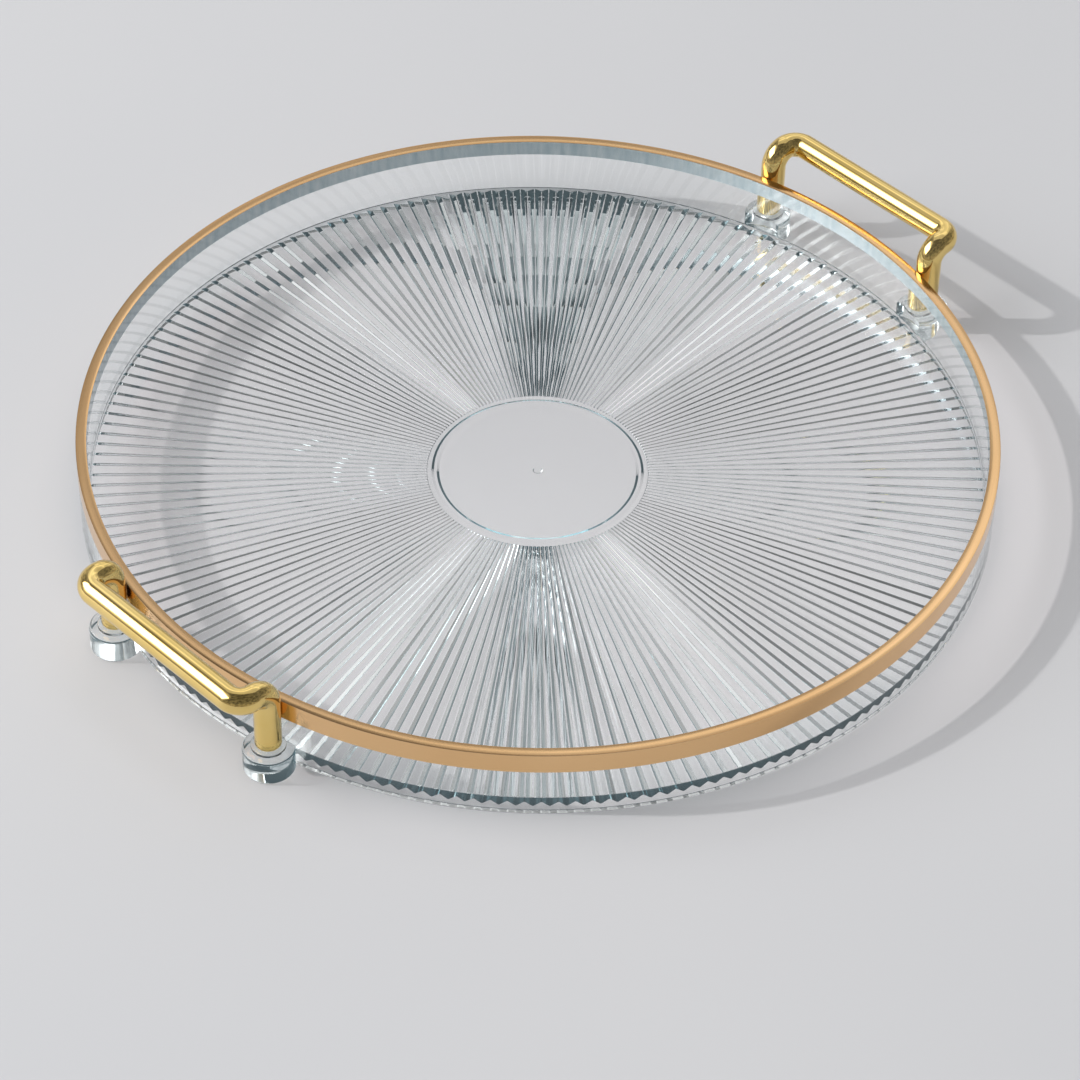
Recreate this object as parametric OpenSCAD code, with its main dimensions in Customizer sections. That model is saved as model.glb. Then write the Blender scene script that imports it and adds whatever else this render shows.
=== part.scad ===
// Round vanity tray: a clear ribbed moulding with a gold rim and two gold bow handles.
// The tray's axis is Z, the handles lie at the two ends of X, and the table is Z = 0.

/* [Tray] */
// Outside diameter of the tray
tray_d = 300; // [220:1:400]
// Height of the rim above the table
tray_h = 25.5; // [24:0.5:40]
// Thickness of the side wall and of the foot ring below it
wall_t = 3.5; // [3:0.1:5]
// Height of the floor's upper face above the table
floor_z = 5; // [4.8:0.1:7]
// Chamfer along the foot ring's edges
foot_chamfer = 0.4; // [0.2:0.1:0.8]

/* [Ribs under the floor] */
// Number of ribs round the floor
rib_count = 180; // [60:4:180]
// Plastic left between a groove's ridge and the floor's upper face
groove_roof_t = 1.6; // [1.2:0.1:2]
// Depth of a groove at the side wall, where it is deepest
groove_depth = 1.8; // [1:0.1:2]
// Share of the pitch that stays flat on the crest of a rib
crest_share = 0.07; // [0.07:0.01:0.3]
// Radius at which the grooves begin
rib_start_r = 36.5; // [34:0.5:60]

/* [Centre disc] */
// Inner radius of the fine ring round the plain centre
ring_in_r = 32.8; // [20:0.1:33]
// Width of the fine ring
ring_w = 1.7; // [1:0.1:2]
// Depth of the fine ring
ring_depth = 0.5; // [0.2:0.1:0.8]
// Diameter of the moulding gate's mark at the centre
gate_d = 3; // [2:0.5:6]
// Height of the gate's mark below the centre disc
gate_h = 0.4; // [0.2:0.1:0.8]

/* [Rim band] */
// Width of the gold band on the outside of the wall
band_w = 7.2; // [4:0.1:12]
// Thickness of the gold band
band_t = 0.3; // [0.2:0.1:0.6]
// Chamfer along the band's two upper edges
band_chamfer = 0.15; // [0.1:0.05:0.15]

/* [Lugs] */
// Diameter of a lug that carries a handle leg
lug_d = 16.4; // [13:0.1:18]
// Height of a lug above the table
lug_h = 8.8; // [7:0.1:10]
// Chamfer on a lug's upper and lower edges
lug_chamfer = 0.6; // [0.3:0.1:1]
// Diameter of the spigot that stands up into the leg
spigot_d = 4.5; // [3:0.1:5]
// Height of the spigot above the lug
spigot_h = 7; // [5:0.5:8]

/* [Handles] */
// Diameter of the handle's round rod
rod_d = 8.5; // [7:0.1:9]
// Half the distance between the two legs of a handle
leg_half = 36.1; // [30:0.1:50]
// Reach from the leg's axis out to the grip's axis
reach = 10.6; // [10.4:0.1:30]
// Radius of the rod's bends, at its axis
bend_r = 5.2; // [4.8:0.1:5.2]
// Height of the grip's axis above the rim
grip_rise = 7.9; // [5:0.1:30]
// Gap between a leg and the wall
leg_gap = 0.2; // [0.1:0.1:1]

/* [Washers] */
// Outside diameter of the clear washer under a leg
washer_d = 11; // [9.5:0.5:12]
// Thickness of the washer
washer_t = 1; // [0.5:0.1:2]

/* [Hidden] */
$fn = 96;

fit_gap = 0.1;                               // around the spigot, in the washer and in the leg
cut = 1;                                     // how far a cutter runs past a face
shave = 0.02;                                // how far a groove's cutter dips below the ribs
gold = [0.85, 0.66, 0.28];
clear = [0.86, 0.91, 0.92, 0.35];

tray_r = tray_d / 2;
well_r = tray_r - wall_t;
rib_z = floor_z - groove_roof_t - groove_depth;
leg_x = sqrt(pow(tray_r + leg_gap + rod_d / 2, 2) - pow(leg_half, 2));
leg_z = lug_h + washer_t;
grip_x = leg_x + reach;
grip_z = tray_h + grip_rise;
bore_d = spigot_d + fit_gap;
bore_depth = spigot_h - washer_t + 1;

// A round ring of the given height that stands on Z = 0.
module ring(r_in, r_out, h) {
    difference() {
        cylinder(r = r_out, h = h);
        translate([0, 0, -cut]) cylinder(r = r_in, h = h + 2 * cut);
    }
}

// The places of a handle's two legs, for side = 1 at +X or -1 at -X.
module at_leg(side, end) {
    translate([side * leg_x, end * leg_half, 0]) children();
}

// One tapering groove along +X. Its ridge climbs from the centre to the wall, and its two
// flanks meet the underside on lines through the centre, so every rib keeps one shape.
module groove() {
    climb = atan(groove_depth / well_r);
    half_w = PI * (1 - crest_share) / rib_count;
    flank = half_w / sin(climb);
    h = groove_depth + cut;
    intersection() {
        translate([0, 0, rib_z])
            rotate([0, -climb, 0])
                rotate([90, 0, 90])
                    linear_extrude(height = tray_r)
                        polygon([[0, 0], [-flank * h, -h], [flank * h, -h]]);
        translate([0, 0, rib_z - shave]) ring(rib_start_r, well_r, groove_depth + 2 * shave);
    }
}

// The lug that carries a leg, with its edges chamfered.
module lug() {
    r = lug_d / 2;
    c = lug_chamfer;
    rotate_extrude() polygon([
        [0, 0],
        [r - c, 0],
        [r, c],
        [r, lug_h - c],
        [r - c, lug_h],
        [0, lug_h]
    ]);
}

// The wall, foot ring and floor as one turned profile, before the grooves are cut.
module turned_blank() {
    c = foot_chamfer;
    band_z = tray_h - band_w;
    rotate_extrude() polygon([
        [0, rib_z],
        [well_r, rib_z],
        [well_r, c],
        [well_r + c, 0],
        [tray_r - c, 0],
        [tray_r, c],
        [tray_r, band_z],
        [tray_r - band_t, band_z],
        [tray_r - band_t, tray_h - band_t],
        [well_r, tray_h - band_t],
        [well_r, floor_z],
        [0, floor_z]
    ]);
}

module tray_body() {
    color(clear) {
        difference() {
            turned_blank();
            for (i = [0 : rib_count - 1]) rotate([0, 0, i * 360 / rib_count]) groove();
            translate([0, 0, rib_z - cut]) ring(ring_in_r, ring_in_r + ring_w, ring_depth + cut);
        }
        translate([0, 0, rib_z - gate_h]) cylinder(d = gate_d, h = gate_h + groove_depth);
        difference() {
            for (side = [-1, 1], end = [-1, 1]) at_leg(side, end) lug();
            translate([0, 0, -cut]) cylinder(r = tray_r - wall_t / 2, h = lug_h + 2 * cut);
        }
        for (side = [-1, 1], end = [-1, 1])
            at_leg(side, end) cylinder(d = spigot_d, h = lug_h + spigot_h);
    }
}

// The gold band covers the top of the wall and the upper part of its outside.
module rim_band() {
    c = band_chamfer;
    color(gold) rotate_extrude() polygon([
        [tray_r - band_t, tray_h - band_w],
        [tray_r, tray_h - band_w],
        [tray_r, tray_h - c],
        [tray_r - c, tray_h],
        [well_r + c, tray_h],
        [well_r, tray_h - c],
        [well_r, tray_h - band_t],
        [tray_r - band_t, tray_h - band_t]
    ]);
}

// A quarter turn of the rod, in the XY plane, from +X round to +Y.
module bend() {
    rotate_extrude(angle = 90) translate([bend_r, 0]) circle(d = rod_d);
}

// The half of a handle at +Y: leg, bend outward, short arm, bend along the grip.
module half_handle() {
    at_leg(1, 1) translate([0, 0, leg_z]) difference() {
        cylinder(d = rod_d, h = grip_z - bend_r - leg_z);
        translate([0, 0, -cut]) cylinder(d = bore_d, h = bore_depth + cut);
    }
    translate([leg_x + bend_r, leg_half, grip_z - bend_r]) rotate([90, 0, 0]) rotate([0, 0, 90]) bend();
    translate([leg_x + bend_r, leg_half, grip_z]) rotate([0, 90, 0]) cylinder(d = rod_d, h = reach - 2 * bend_r);
    translate([grip_x - bend_r, leg_half - bend_r, grip_z]) bend();
    translate([grip_x, 0, grip_z]) rotate([-90, 0, 0]) cylinder(d = rod_d, h = leg_half - bend_r);
}

module handle() {
    color(gold) {
        half_handle();
        mirror([0, 1, 0]) half_handle();
    }
}

module handle_right() {
    handle();
}

module handle_left() {
    rotate([0, 0, 180]) handle();
}

// The clear washer between a lug and a leg.
module washer(side, end) {
    color(clear) at_leg(side, end) translate([0, 0, lug_h]) ring(bore_d / 2, washer_d / 2, washer_t);
}

tray_body();
rim_band();
handle_left();
handle_right();
washer(-1, -1);  // washer_left_front
washer(-1, 1);  // washer_left_back
washer(1, -1);  // washer_right_front
washer(1, 1);  // washer_right_back
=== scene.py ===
import math

import bmesh
import bpy
from mathutils import Matrix, Vector


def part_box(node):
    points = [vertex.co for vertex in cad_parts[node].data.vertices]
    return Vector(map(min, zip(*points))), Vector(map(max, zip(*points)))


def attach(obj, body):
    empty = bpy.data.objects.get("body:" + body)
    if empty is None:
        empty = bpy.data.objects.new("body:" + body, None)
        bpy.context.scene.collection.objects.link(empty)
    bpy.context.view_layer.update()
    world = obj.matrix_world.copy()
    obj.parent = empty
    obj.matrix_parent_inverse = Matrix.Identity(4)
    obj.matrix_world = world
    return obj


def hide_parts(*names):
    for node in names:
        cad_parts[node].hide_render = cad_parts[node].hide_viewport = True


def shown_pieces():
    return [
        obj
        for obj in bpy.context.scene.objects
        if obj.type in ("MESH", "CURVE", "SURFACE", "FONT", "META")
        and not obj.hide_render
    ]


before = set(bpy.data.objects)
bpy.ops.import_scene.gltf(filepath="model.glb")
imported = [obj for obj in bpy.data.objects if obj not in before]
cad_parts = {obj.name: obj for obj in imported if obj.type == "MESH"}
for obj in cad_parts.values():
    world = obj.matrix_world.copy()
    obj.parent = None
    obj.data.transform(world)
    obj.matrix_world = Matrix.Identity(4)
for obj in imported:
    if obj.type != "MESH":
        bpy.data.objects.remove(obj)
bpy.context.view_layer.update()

MM = 0.001
TAU = 2 * math.pi

# ---------------------------------------------------------------- sizes

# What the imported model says, in metres.
rim_low, rim_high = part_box("rim_band")
handle_low, handle_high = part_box("handle_right")
washer_low, washer_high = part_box("washer_right_back")
tray_r = rim_high.y
rim_z = rim_high.z
band_z = rim_low.z
leg_x = (washer_low.x + washer_high.x) / 2
leg_y = (washer_low.y + washer_high.y) / 2
washer_r = (washer_high.x - washer_low.x) / 2
lug_z = washer_low.z
leg_z = washer_high.z
rod_r = handle_high.y - leg_y
grip_x = handle_high.x - rod_r
grip_z = handle_high.z - rod_r

# What the model's box doesn't say.
WALL_T = 3.5 * MM
FLOOR_Z = 5.0 * MM
RIB_Z = 1.6 * MM
BAND_T = 0.3 * MM
FOOT_ROUND = 0.4 * MM
WELL_ROUND = 0.5 * MM
RIB_COUNT = 180
GROOVE_DEPTH = 1.8 * MM
RIB_START_R = 36.5 * MM
RING_IN_R = 32.8 * MM
RING_OUT_R = 34.5 * MM
RING_DEPTH = 0.5 * MM
RING_SLOPE = 0.42 * MM   # how far the ring's walls lean to either side
RIB_END_GAP = 0.15 * MM  # from the ribs' inner ends to the plain disc
GATE_R = 1.5 * MM
GATE_H = 0.4 * MM
LUG_R = 8.2 * MM
LUG_ROUND = 0.8 * MM
SPIGOT_R = 2.25 * MM
SPIGOT_H = 7.0 * MM
SPIGOT_TIP = 0.4 * MM
BORE_R = 2.3 * MM
BEND_R = 5.2 * MM
LEG_END_ROUND = 1.1 * MM
CROWN = 0.12 * MM        # how far the rim's top curves down to its edges
RIM_ROUND = 0.15 * MM
WASHER_ROUND = 0.25 * MM
BOND = 0.02 * MM         # how far the gold foil's back lies in the plastic
LOOSE = 0.015 * MM       # air between pieces that only touch

well_r = tray_r - WALL_T

# How many straight sides stand for each circle.
RIM_SIDES = 720
LUG_SIDES = 96
WASHER_SIDES = 72
ROD_SIDES = 64
BEND_STEPS = 14
CROWN_STEPS = 6

# The gate mark's section, as (distance in from its radius, depth below the disc).
GATE_SHAPE = [
    (-0.1 * MM, 0.0),
    (0.0, 0.15 * MM),
    (0.2 * MM, 0.32 * MM),
    (0.6 * MM, GATE_H),
]

# One pitch of the ribs, as (share of the pitch, share of the groove's depth): a crest at 0,
# a ridge at 0.5, both a little rounded, and straight flanks between.
RIB_SHAPE = [
    (-0.030, 0.0),
    (0.030, 0.0),
    (0.075, 0.08),
    (0.420, 0.83),
    (0.470, 0.92),
    (0.530, 0.92),
    (0.580, 0.83),
    (0.925, 0.08),
]


# ---------------------------------------------------------------- mesh helpers

def arc(centre, radius, start, end, steps):
    """Points (r, z) along an arc from one angle to the other, in degrees, ends included."""
    points = []
    for i in range(steps + 1):
        a = math.radians(start + (end - start) * i / steps)
        points.append((centre[0] + radius * math.cos(a), centre[1] + radius * math.sin(a)))
    return points


def piece_from(name, verts, faces, sharp_deg=32):
    """A smooth-shaded mesh object whose edges stay crisp above an angle."""
    mesh = bpy.data.meshes.new(name)
    mesh.from_pydata(verts, [], faces)
    mesh.validate()
    bm = bmesh.new()
    bm.from_mesh(mesh)
    bmesh.ops.recalc_face_normals(bm, faces=bm.faces)
    bm.to_mesh(mesh)
    bm.free()
    mesh.shade_smooth()
    mesh.set_sharp_from_angle(angle=math.radians(sharp_deg))
    piece = bpy.data.objects.new(name, mesh)
    bpy.context.scene.collection.objects.link(piece)
    return piece


def turned(profile, angles, lift=None):
    """Vertices and faces of a profile of (r, z) points turned round Z. A point on the axis
    becomes one vertex; with no point there the profile closes on itself. lift(i, j) adds to
    the height of profile point i at angle j."""
    verts, rings = [], []
    for i, (r, z) in enumerate(profile):
        if r < 1e-9:
            rings.append([len(verts)] * len(angles))
            verts.append((0, 0, z))
            continue
        rings.append(list(range(len(verts), len(verts) + len(angles))))
        for j, a in enumerate(angles):
            up = lift(i, j) if lift else 0
            verts.append((r * math.cos(a), r * math.sin(a), z + up))
    closed = all(r > 1e-9 for r, _ in profile)
    faces = []
    for i in range(len(rings) if closed else len(rings) - 1):
        low, high = rings[i], rings[(i + 1) % len(rings)]
        for j in range(len(angles)):
            k = (j + 1) % len(angles)
            corners = [low[j], low[k], high[k], high[j]]
            faces.append(tuple(dict.fromkeys(corners)))
    return verts, faces


def even_angles(count):
    return [TAU * j / count for j in range(count)]


def apply_boolean(piece, other, operation):
    """Joins or cuts a piece with another mesh, which is then removed."""
    step = piece.modifiers.new("join", "BOOLEAN")
    step.operation = operation
    step.solver = "MANIFOLD"
    step.object = other
    bpy.context.view_layer.update()
    graph = bpy.context.evaluated_depsgraph_get()
    mesh = bpy.data.meshes.new_from_object(piece.evaluated_get(graph))
    piece.modifiers.clear()
    old = piece.data
    piece.data = mesh
    bpy.data.meshes.remove(old)
    bpy.data.meshes.remove(other.data)


def weight_normals(piece):
    """Lets the large faces set the shading, so that flats look flat beside their roundings."""
    step = piece.modifiers.new("normals", "WEIGHTED_NORMAL")
    step.mode = "FACE_AREA"
    step.weight = 80
    step.keep_sharp = True


# ---------------------------------------------------------------- node helpers

class Nodes:
    """A short way to build a node tree."""

    def __init__(self, tree):
        self.tree = tree
        tree.nodes.clear()

    def add(self, kind, links=None, **settings):
        node = self.tree.nodes.new(kind)
        for key, value in settings.items():
            setattr(node, key, value)
        for key, value in (links or {}).items():
            if isinstance(value, bpy.types.NodeSocket):
                self.tree.links.new(value, node.inputs[key])
            else:
                node.inputs[key].default_value = value
        return node

    def math(self, operation, *values):
        node = self.add("ShaderNodeMath", operation=operation)
        for i, value in enumerate(values):
            if isinstance(value, bpy.types.NodeSocket):
                self.tree.links.new(value, node.inputs[i])
            else:
                node.inputs[i].default_value = value
        return node.outputs[0]

    def ramp(self, factor, stops):
        node = self.add("ShaderNodeValToRGB", {0: factor})
        ramp = node.color_ramp
        while len(ramp.elements) > 1:
            ramp.elements.remove(ramp.elements[-1])
        for i, (place, colour) in enumerate(stops):
            stop = ramp.elements[0] if i == 0 else ramp.elements.new(place)
            stop.position = place
            stop.color = (*colour, 1)
        return node.outputs[0]

    def spread(self, factor, low, high):
        """Maps 0..1 to low..high."""
        node = self.add("ShaderNodeMapRange", {0: factor, 3: low, 4: high})
        return node.outputs[0]


def new_material(name):
    material = bpy.data.materials.new(name)
    material.use_nodes = True
    return material, Nodes(material.node_tree)


def dress(piece, *materials):
    """Gives a piece its materials; each face keeps its place in the list."""
    mesh = piece.data
    wanted = [min(face.material_index, len(materials) - 1) for face in mesh.polygons]
    mesh.materials.clear()
    for material in materials:
        mesh.materials.append(material)
    mesh.polygons.foreach_set("material_index", wanted)


# ---------------------------------------------------------------- materials

def grey(value):
    return (value, value, value)


def clear_plastic(name, tint=(0.997, 1.0, 1.0)):
    """Clear moulded plastic, a little teal inside, with a faint teal glow painted inside it: painted light
    that stands in for light carried along the plastic to its edges. Lamps and scattered light pass straight
    through it: slightly raised where it is seen straight on, dimmed where it slants."""
    material, n = new_material(name)
    place = n.add("ShaderNodeTexCoord").outputs["Object"]
    flow = n.add("ShaderNodeTexNoise", {"Vector": place, "Scale": 22.0, "Detail": 1.0})
    specks = n.add("ShaderNodeTexNoise", {"Vector": place, "Scale": 420.0, "Detail": 3.0})
    haze = n.ramp(specks.outputs[0], [(0.0, grey(0.0)), (0.62, grey(0.005)), (0.8, grey(0.04))])
    bump = n.add("ShaderNodeBump", {"Strength": 0.015, "Distance": 0.0004, "Height": flow.outputs[0]})
    glass = n.add("ShaderNodeBsdfPrincipled", {
        "Base Color": (*tint, 1),
        "Roughness": haze,
        "IOR": 1.49,
        "Transmission Weight": 1.0,
        "Normal": bump.outputs[0],
    })
    path = n.add("ShaderNodeLightPath")
    open_ray = n.math("MAXIMUM", path.outputs["Is Shadow Ray"], path.outputs["Is Diffuse Ray"])
    tilt = n.add("ShaderNodeLayerWeight", {"Blend": 0.35})
    dim = n.ramp(tilt.outputs["Facing"], [
        (0.0, (1.085, 1.058, 1.053)),
        (0.24, (1.058, 1.03, 1.026)),
        (0.42, (0.86, 0.85, 0.85)),
        (0.6, grey(0.6)),
        (1.0, grey(0.2)),
    ])
    passing = n.add("ShaderNodeBsdfTransparent", {"Color": dim})
    mix = n.add("ShaderNodeMixShader", {0: open_ray, 1: glass.outputs[0], 2: passing.outputs[0]})
    inside = n.add("ShaderNodeVolumeAbsorption", {"Color": (0.3, 0.74, 0.8, 1), "Density": 7.0})
    # Painted light: a teal emission inside the plastic, standing in for light carried along it; it is no
    # lamp.
    glow = n.add("ShaderNodeEmission", {"Color": (0.6, 0.88, 1.0, 1), "Strength": 2.3})
    both = n.add("ShaderNodeAddShader", {0: inside.outputs[0], 1: glow.outputs[0]})
    n.add("ShaderNodeOutputMaterial", {"Surface": mix.outputs[0], "Volume": both.outputs[0]})
    return material


def around(n):
    """Coordinates that run round the tray: arc length, radius and height."""
    place = n.add("ShaderNodeTexCoord").outputs["Object"]
    split = n.add("ShaderNodeSeparateXYZ", {0: place})
    x, y, z = split.outputs[0], split.outputs[1], split.outputs[2]
    angle = n.math("ARCTAN2", y, x)
    radius = n.math("SQRT", n.math("ADD", n.math("MULTIPLY", x, x), n.math("MULTIPLY", y, y)))
    length = n.math("MULTIPLY", angle, tray_r)
    joined = n.add("ShaderNodeCombineXYZ", {0: length, 1: radius, 2: z})
    return joined.outputs[0]


def gold_foil(name):
    """Hot-stamped gold foil with fine streaks that run round the rim."""
    material, n = new_material(name)
    stretch = n.add("ShaderNodeMapping", {0: around(n), 3: (30.0, 2600.0, 2600.0)})
    streak = n.add("ShaderNodeTexNoise", {"Vector": stretch.outputs[0], "Scale": 1.0, "Detail": 3.0})
    place = n.add("ShaderNodeTexCoord").outputs["Object"]
    patch = n.add("ShaderNodeTexNoise", {"Vector": place, "Scale": 16.0, "Detail": 2.0})
    colour = n.ramp(patch.outputs[0], [(0.3, (0.79, 0.49, 0.235)), (0.7, (0.86, 0.56, 0.29))])
    rough = n.spread(streak.outputs[0], 0.10, 0.26)
    bump = n.add("ShaderNodeBump", {"Strength": 0.25, "Distance": 0.00004, "Height": streak.outputs[0]})
    metal = n.add("ShaderNodeBsdfPrincipled", {
        "Base Color": colour,
        "Metallic": 1.0,
        "Roughness": rough,
        "Normal": bump.outputs[0],
    })
    n.add("ShaderNodeOutputMaterial", {"Surface": metal.outputs[0]})
    return material


def foil_back(name):
    """The silver back of the foil, seen through the wall."""
    material, n = new_material(name)
    stretch = n.add("ShaderNodeMapping", {0: around(n), 3: (420.0, 60.0, 60.0)})
    streak = n.add("ShaderNodeTexNoise", {"Vector": stretch.outputs[0], "Scale": 1.0, "Detail": 3.0})
    colour = n.ramp(streak.outputs[0], [(0.3, (0.62, 0.72, 0.76)), (0.7, (0.84, 0.90, 0.92))])
    metal = n.add("ShaderNodeBsdfPrincipled", {"Base Color": colour, "Metallic": 1.0, "Roughness": 0.3})
    n.add("ShaderNodeOutputMaterial", {"Surface": metal.outputs[0]})
    return material


def polished_gold(name):
    """Bright plated gold with faint polishing marks and handling smudges."""
    material, n = new_material(name)
    place = n.add("ShaderNodeTexCoord").outputs["Object"]
    smudge = n.add("ShaderNodeTexNoise", {"Vector": place, "Scale": 60.0, "Detail": 4.0})
    wave = n.add("ShaderNodeTexNoise", {"Vector": place, "Scale": 110.0, "Detail": 1.0})
    colour = n.ramp(smudge.outputs[0], [(0.3, (0.83, 0.60, 0.20)), (0.7, (0.89, 0.67, 0.27))])
    rough = n.spread(smudge.outputs[0], 0.03, 0.12)
    bump = n.add("ShaderNodeBump", {"Strength": 0.1, "Distance": 0.0002, "Height": wave.outputs[0]})
    metal = n.add("ShaderNodeBsdfPrincipled", {
        "Base Color": colour,
        "Metallic": 1.0,
        "Roughness": rough,
        "Normal": bump.outputs[0],
    })
    n.add("ShaderNodeOutputMaterial", {"Surface": metal.outputs[0]})
    return material


def floor_material(name):
    """A plain pale matt surface with a very soft change of tone."""
    material, n = new_material(name)
    place = n.add("ShaderNodeTexCoord").outputs["Object"]
    cloud = n.add("ShaderNodeTexNoise", {"Vector": place, "Scale": 2.5, "Detail": 2.0})
    colour = n.ramp(cloud.outputs[0], [(0.3, (0.592, 0.600, 0.625)), (0.7, (0.625, 0.63, 0.65))])
    matt = n.add("ShaderNodeBsdfPrincipled", {"Base Color": colour, "Roughness": 0.6})
    n.add("ShaderNodeOutputMaterial", {"Surface": matt.outputs[0]})
    return material


# ---------------------------------------------------------------- tray body

def rib_angles():
    pitch = TAU / RIB_COUNT
    return [pitch * (i + 0.5 + share) for i in range(RIB_COUNT) for share, _ in RIB_SHAPE]


def tray_profile():
    """The tray's outline from the axis over the floor, up the wall, down its outside, round
    the foot and back under the floor, as (r, z, rib share)."""
    top = rim_z - BAND_T
    band_r = tray_r - BAND_T
    f, w = FOOT_ROUND, WELL_ROUND
    outline = [(0, FLOOR_Z)]
    outline += [(well_r / 3, FLOOR_Z), (2 * well_r / 3, FLOOR_Z)]
    outline += arc((well_r - w, FLOOR_Z + w), w, -90, 0, 4)
    outline += [(well_r, top), (band_r, top), (band_r, band_z), (tray_r, band_z)]
    outline += arc((tray_r - f, f), f, 0, -90, 4)
    outline += arc((well_r + f, f), f, -90, -180, 4)
    plain = [(r, z, 0) for r, z in outline]
    ribbed = [(well_r, RIB_Z, 1), (RIB_START_R, RIB_Z, 1)]
    ring = [
        (RIB_START_R - RIB_END_GAP, RIB_Z, 0),
        (RING_OUT_R + RING_SLOPE, RIB_Z, 0),
        (RING_OUT_R - RING_SLOPE, RIB_Z + RING_DEPTH, 0),
        (RING_IN_R + RING_SLOPE, RIB_Z + RING_DEPTH, 0),
        (RING_IN_R - RING_SLOPE, RIB_Z, 0),
    ]
    gate = [(GATE_R - inset, RIB_Z - depth, 0) for inset, depth in GATE_SHAPE]
    gate += [(0, RIB_Z - GATE_H, 0)]
    return plain + ribbed + ring + gate


def lug_solid(x, y):
    """A clear round lug with its spigot, cut back to the middle of the tray's wall."""
    c = LUG_ROUND
    spigot_top = lug_z + SPIGOT_H
    profile = [(0, 0)]
    profile += arc((LUG_R - c, c), c, -90, 0, 5)
    profile += arc((LUG_R - c, lug_z - c), c, 0, 90, 5)
    profile += [(SPIGOT_R, lug_z), (SPIGOT_R, spigot_top - SPIGOT_TIP)]
    profile += [(SPIGOT_R - SPIGOT_TIP, spigot_top), (0, spigot_top)]
    lug = piece_from("lug", *turned(profile, even_angles(LUG_SIDES)))
    lug.data.transform(Matrix.Translation((x, y, 0)))
    inner = tray_r - WALL_T / 2
    core_low, core_high = -lug_z, 2 * lug_z
    core_outline = [(0, core_low), (inner, core_low), (inner, core_high), (0, core_high)]
    core = piece_from("core", *turned(core_outline, even_angles(RIM_SIDES)))
    apply_boolean(lug, core, "DIFFERENCE")
    return lug


def make_tray():
    profile = tray_profile()
    angles = rib_angles()
    heights = [depth for _, depth in RIB_SHAPE]

    def lift(i, j):
        r, _, share = profile[i]
        return share * GROOVE_DEPTH * (r / well_r) * heights[j % len(heights)]

    tray = piece_from("tray_moulding", *turned([(r, z) for r, z, _ in profile], angles, lift))
    for side in (-1, 1):
        for end in (-1, 1):
            apply_boolean(tray, lug_solid(side * leg_x, end * leg_y), "UNION")
    tray.data.shade_smooth()
    tray.data.set_sharp_from_angle(angle=math.radians(28))
    return tray


# ---------------------------------------------------------------- rim band

def make_band():
    """The foil: an outer skin of gold with its silver back against the plastic."""
    c = RIM_ROUND
    edge_z = rim_z - CROWN
    back_r = tray_r - BAND_T - BOND
    back_z = rim_z - BAND_T - BOND
    span = tray_r - well_r
    bevel = 0.3 * c
    top = []
    for k in range(1, CROWN_STEPS):
        off_middle = 2 * k / CROWN_STEPS - 1
        top.append((tray_r - span * k / CROWN_STEPS, rim_z - CROWN * off_middle ** 2))
    front = [(tray_r, band_z), (tray_r, edge_z - c), (tray_r - bevel, edge_z - bevel)]
    front += top
    front += [(well_r + bevel, edge_z - bevel), (well_r, edge_z - c), (well_r, back_z)]
    back = [(back_r, back_z), (back_r, band_z)]
    profile = front + back
    band = piece_from("rim_foil", *turned(profile, even_angles(RIM_SIDES)), sharp_deg=50)
    for face in band.data.polygons:
        middle = face.center
        r = math.hypot(middle.x, middle.y)
        under_top = abs(middle.z - back_z) < 1e-6
        inner_side = abs(r - back_r) < 1e-5 and middle.z < back_z
        face.material_index = 1 if under_top or inner_side else 0
    return band


# ---------------------------------------------------------------- handles

def rounded_path(corners, radius, steps):
    """A path through corner points with every inner corner rounded, as (point, direction)."""
    path = [(corners[0], (corners[1] - corners[0]).normalized())]
    for before, here, after in zip(corners, corners[1:], corners[2:]):
        into, out = (here - before).normalized(), (after - here).normalized()
        start = here - into * radius
        centre = start + out * radius
        for i in range(steps + 1):
            a = math.pi / 2 * i / steps
            point = centre - out * (radius * math.cos(a)) + into * (radius * math.sin(a))
            path.append((point, (into * math.cos(a) + out * math.sin(a)).normalized()))
    path.append((corners[-1], (corners[-1] - corners[-2]).normalized()))
    return path


def leg_end(corner, ahead):
    """A leg's end as (point, direction, radius): from the bottom of its blind bore out to
    the rounded foot."""
    c = LEG_END_ROUND
    bore_end = corner + Vector((0, 0, SPIGOT_H))
    stations = [(bore_end, ahead, 0.0), (bore_end, ahead, BORE_R), (corner, ahead, BORE_R)]
    for degrees in (0, 22.5, 45, 67.5, 90):
        a = math.radians(degrees)
        up = c * (1 - math.cos(a))
        stations.append((corner + Vector((0, 0, up)), ahead, rod_r - c * (1 - math.sin(a))))
    return stations


def swept(stations, sides):
    """Vertices and faces of a round section carried along (point, direction, radius)
    stations without twist. A station of no radius becomes one vertex."""
    across = Vector((0, 1, 0))
    last = stations[0][1]
    verts, rings = [], []
    for point, ahead, r in stations:
        across = last.rotation_difference(ahead) @ across
        across = (across - ahead * across.dot(ahead)).normalized()
        last = ahead
        other = ahead.cross(across)
        if r == 0:
            rings.append([len(verts)] * sides)
            verts.append(point)
            continue
        rings.append(list(range(len(verts), len(verts) + sides)))
        for a in even_angles(sides):
            verts.append(point + across * (r * math.cos(a)) + other * (r * math.sin(a)))
    faces = []
    for low, high in zip(rings, rings[1:]):
        for j in range(sides):
            k = (j + 1) % sides
            faces.append(tuple(dict.fromkeys([low[j], low[k], high[k], high[j]])))
    return verts, faces


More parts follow.
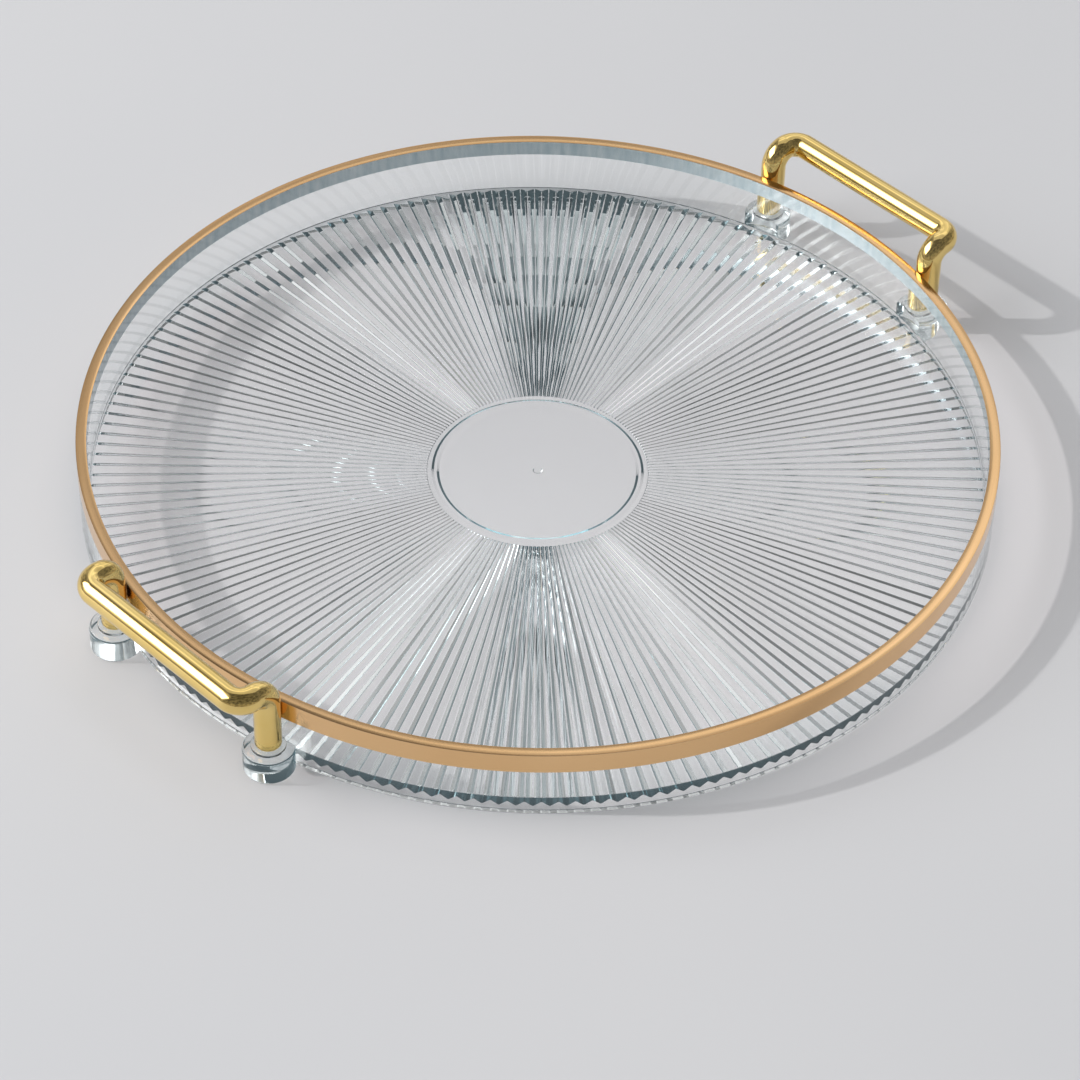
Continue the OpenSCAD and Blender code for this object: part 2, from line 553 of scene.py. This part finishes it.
def make_handle(name, side):
    """A bow handle: two legs, each bent outward and then along the grip, with a blind bore
    in each leg."""
    ends = [
        (leg_x, -leg_y, leg_z), (leg_x, -leg_y, grip_z), (grip_x, -leg_y, grip_z),
        (grip_x, leg_y, grip_z), (leg_x, leg_y, grip_z), (leg_x, leg_y, leg_z),
    ]
    corners = [Vector(p) for p in ends]
    path = rounded_path(corners, BEND_R, BEND_STEPS)
    stations = leg_end(corners[0], path[0][1])
    stations += [(point, ahead, rod_r) for point, ahead in path[1:-1]]
    stations += reversed(leg_end(corners[-1], path[-1][1]))
    handle = piece_from(name, *swept(stations, ROD_SIDES), sharp_deg=40)
    if side < 0:
        handle.data.transform(Matrix.Rotation(math.pi, 4, "Z"))
    return handle


# ---------------------------------------------------------------- washers

def make_washer(name, x, y):
    """The clear ring between a leg and its lug, with its four edges rounded."""
    c = WASHER_ROUND
    low, high = lug_z + LOOSE, leg_z - LOOSE
    inner, outer = BORE_R, washer_r
    profile = arc((outer - c, low + c), c, -90, 0, 3)
    profile += arc((outer - c, high - c), c, 0, 90, 3)
    profile += arc((inner + c, high - c), c, 90, 180, 3)
    profile += arc((inner + c, low + c), c, 180, 270, 3)
    washer = piece_from(name, *turned(profile, even_angles(WASHER_SIDES)), sharp_deg=50)
    washer.data.transform(Matrix.Translation((x, y, 0)))
    return washer


# ---------------------------------------------------------------- build

plastic = clear_plastic("moulded_plastic")
washer_plastic = clear_plastic("washer_plastic", tint=(0.96, 0.97, 0.97))
foil = gold_foil("gold_foil")
silver = foil_back("foil_back")
gold = polished_gold("polished_gold")


def hand_over(piece, node, slot, *materials):
    """Dresses a piece and puts it in the place of its CAD node."""
    dress(piece, *materials)
    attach(piece, "root")
    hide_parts(node)


hand_over(make_tray(), "tray_body", "clear_plastic", plastic)
hand_over(make_band(), "rim_band", "gold_film", foil, silver)
hand_over(make_handle("bow_handle_right", 1), "handle_right", "gold_plate", gold)
hand_over(make_handle("bow_handle_left", -1), "handle_left", "gold_plate", gold)
for side, side_name in ((-1, "left"), (1, "right")):
    for end, end_name in ((-1, "front"), (1, "back")):
        ring = make_washer(f"leg_washer_{side_name}_{end_name}", side * leg_x, end * leg_y)
        hand_over(ring, f"washer_{side_name}_{end_name}", "clear_washer", washer_plastic)
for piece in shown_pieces():
    weight_normals(piece)

# ---------------------------------------------------------------- stage, lights, camera

FLOOR_SIZE = 8.0
FLOOR_DROP = 0.05 * MM
half = FLOOR_SIZE / 2
floor_corners = [(x, y, -FLOOR_DROP) for x, y in ((-half, -half), (half, -half), (half, half), (-half, half))]
floor = piece_from("stage_floor", floor_corners, [(0, 1, 2, 3)])
dress(floor, floor_material("pale_floor"))

VIEW_AZIMUTH = math.radians(-45.19)
VIEW_ELEVATION = math.radians(41.90)
VIEW_DISTANCE = 1.300
AIM_DOWN = math.radians(1.723)
AIM_SIDE = math.radians(-0.053)
ROLL = math.radians(1.103)
LENS_MM = 133.19
SENSOR_MM = 36.0

LAMP_DISTANCE = 3.0
SEEN_TONE = (0.62, 0.63, 0.65, 1)        # what the camera sees of the world
STRIP_HEIGHT = 0.725                     # the bright strip's middle, as the sine of its elevation
STRIP_EDGES = (0.065, 0.03)              # how far from its middle it ends, and where it is full
UNEVEN_FROM, UNEVEN_TO = (0.38, 0.62), (0.5, 1.5)

# The tone of the dome by height, as (sine of the elevation, colour).
DOME_TONES = [
    (0.00, (0.36, 0.345, 0.335)),
    (0.12, (0.33, 0.32, 0.31)),
    (0.42, (0.18, 0.178, 0.175)),
    (0.75, (0.155, 0.155, 0.155)),
    (1.00, (0.115, 0.115, 0.115)),
]

# Glows in the dome, as (azimuth, elevation, full within, none beyond, strength, what cuts it),
# with the angles in degrees.
GLOWS = [
    (125, 46, 15, 30, 0.38, "strip"),
    (135, 5, 20, 65, 0.20, "uneven"),
    (135, 30, 12, 38, 0.11, None),
    (-135, 38, 12, 34, 0.95, None),
]

rim_middle = Vector((0, 0, rim_z))


def direction(azimuth, elevation):
    """The way towards an azimuth and elevation in radians; azimuth 0 is at -Y."""
    across = math.cos(elevation)
    return Vector((math.sin(azimuth) * across, -math.cos(azimuth) * across, math.sin(elevation)))


def facing_rim(spot):
    """The turn that aims a camera or lamp at the middle of the rim."""
    return (rim_middle - spot).to_track_quat("-Z", "Y")


def make_camera():
    data = bpy.data.cameras.new("camera")
    data.lens = LENS_MM
    data.sensor_width = SENSOR_MM
    data.clip_start = 0.05
    data.clip_end = 50
    camera = bpy.data.objects.new("camera", data)
    bpy.context.scene.collection.objects.link(camera)
    spot = rim_middle + direction(VIEW_AZIMUTH, VIEW_ELEVATION) * VIEW_DISTANCE
    base = facing_rim(spot).to_matrix()
    aim = Matrix.Rotation(AIM_SIDE, 3, "Y") @ Matrix.Rotation(-AIM_DOWN, 3, "X")
    turn = aim @ Matrix.Rotation(ROLL, 3, "Z")
    camera.matrix_world = Matrix.Translation(spot) @ (base @ turn).to_4x4()
    bpy.context.scene.camera = camera


def hang(data, azimuth, elevation):
    """Puts a lamp in the scene, aimed at the middle of the rim; angles in degrees."""
    light = bpy.data.objects.new(data.name, data)
    bpy.context.scene.collection.objects.link(light)
    way = direction(math.radians(azimuth), math.radians(elevation))
    light.location = rim_middle + way * LAMP_DISTANCE
    light.rotation_euler = facing_rim(light.location).to_euler()
    return light


def area_light(name, azimuth, elevation, width, height, power):
    data = bpy.data.lights.new(name, "AREA")
    data.shape = "RECTANGLE"
    data.size = width
    data.size_y = height
    data.energy = power
    return hang(data, azimuth, elevation)


def sun_light(name, azimuth, elevation, strength, spread, colour):
    data = bpy.data.lights.new(name, "SUN")
    data.energy = strength
    data.angle = math.radians(spread)
    data.color = colour
    return hang(data, azimuth, elevation)


def lit_pieces(light, collection_name, piece_names, state="INCLUDE"):
    """Limits a lamp to the named pieces, or keeps it off them when they are excluded."""
    chosen = bpy.data.collections.new(collection_name)
    for piece_name in piece_names:
        chosen.objects.link(bpy.data.objects[piece_name])
    for member in chosen.collection_objects:
        member.light_linking.link_state = state
    light.light_linking.receiver_collection = chosen


def glow(n, way, azimuth, elevation, core, edge):
    """1 within the core angle of a direction, fading to 0 at the edge angle."""
    aim = direction(math.radians(azimuth), math.radians(elevation))
    near = n.add("ShaderNodeVectorMath", {0: way, 1: aim}, operation="DOT_PRODUCT").outputs["Value"]
    low, high = math.cos(math.radians(edge)), math.cos(math.radians(core))
    fade = n.add("ShaderNodeMapRange", {0: near, 1: low, 2: high}, interpolation_type="SMOOTHSTEP")
    return fade.outputs[0]


def studio_world():
    """A soft, slightly uneven dome with soft glows, plain to the camera."""
    world = bpy.data.worlds.new("studio")
    world.use_nodes = True
    n = Nodes(world.node_tree)
    way = n.add("ShaderNodeTexCoord").outputs["Generated"]
    up = n.add("ShaderNodeSeparateXYZ", {0: way}).outputs[2]
    tone = n.ramp(up, DOME_TONES)
    clouds = n.add("ShaderNodeTexNoise", {"Vector": way, "Scale": 7.0, "Detail": 2.0}).outputs[0]
    (from_low, from_high), (to_low, to_high) = UNEVEN_FROM, UNEVEN_TO
    uneven = n.add("ShaderNodeMapRange", {0: clouds, 1: from_low, 2: from_high, 3: to_low, 4: to_high})
    tone = n.add("ShaderNodeVectorMath", {0: tone, "Scale": uneven.outputs[0]}, operation="SCALE").outputs[0]
    off_height = n.math("ABSOLUTE", n.math("SUBTRACT", up, STRIP_HEIGHT))
    ends, full = STRIP_EDGES
    strip = n.add("ShaderNodeMapRange", {0: off_height, 1: ends, 2: full}, interpolation_type="SMOOTHSTEP")
    cuts = {"strip": strip.outputs[0], "uneven": uneven.outputs[0]}
    for azimuth, elevation, core, edge, strength, cut in GLOWS:
        fade = glow(n, way, azimuth, elevation, core, edge)
        if cut:
            fade = n.math("MULTIPLY", fade, cuts[cut])
        light = n.add("ShaderNodeVectorMath", {0: grey(strength), "Scale": fade}, operation="SCALE")
        tone = n.add("ShaderNodeVectorMath", {0: tone, 1: light.outputs[0]}, operation="ADD").outputs[0]
    seen = n.add("ShaderNodeBackground", {0: SEEN_TONE, 1: 1.0})
    dome = n.add("ShaderNodeBackground", {0: tone, 1: 1.0})
    to_camera = n.add("ShaderNodeLightPath").outputs["Is Camera Ray"]
    mix = n.add("ShaderNodeMixShader", {0: to_camera, 1: dome.outputs[0], 2: seen.outputs[0]})
    n.add("ShaderNodeOutputWorld", {"Surface": mix.outputs[0]})
    bpy.context.scene.world = world


make_camera()
studio_world()
area_light("window", -135, 38, 2.8, 1.8, 54)
fill = area_light("fill", 0, 90, 3.0, 3.0, 25)
fill.visible_glossy = False
fill.visible_transmission = False
rim_card = area_light("rim_card", 110, 53, 1.8, 1.8, 4.5)
lit_pieces(rim_card, "rim_only", ["rim_foil"])
handle_card = area_light("handle_card", 125, 48, 3.0, 3.6, 15)
lit_pieces(handle_card, "handles_only", ["bow_handle_left", "bow_handle_right"])
key = sun_light("key", -135, 35, 1.2, 1.5, (1.0, 0.98, 0.95))
lit_pieces(key, "no_glints", ["tray_moulding", "rim_foil"], state="EXCLUDE")
bpy.context.scene.view_settings.view_transform = "Standard"
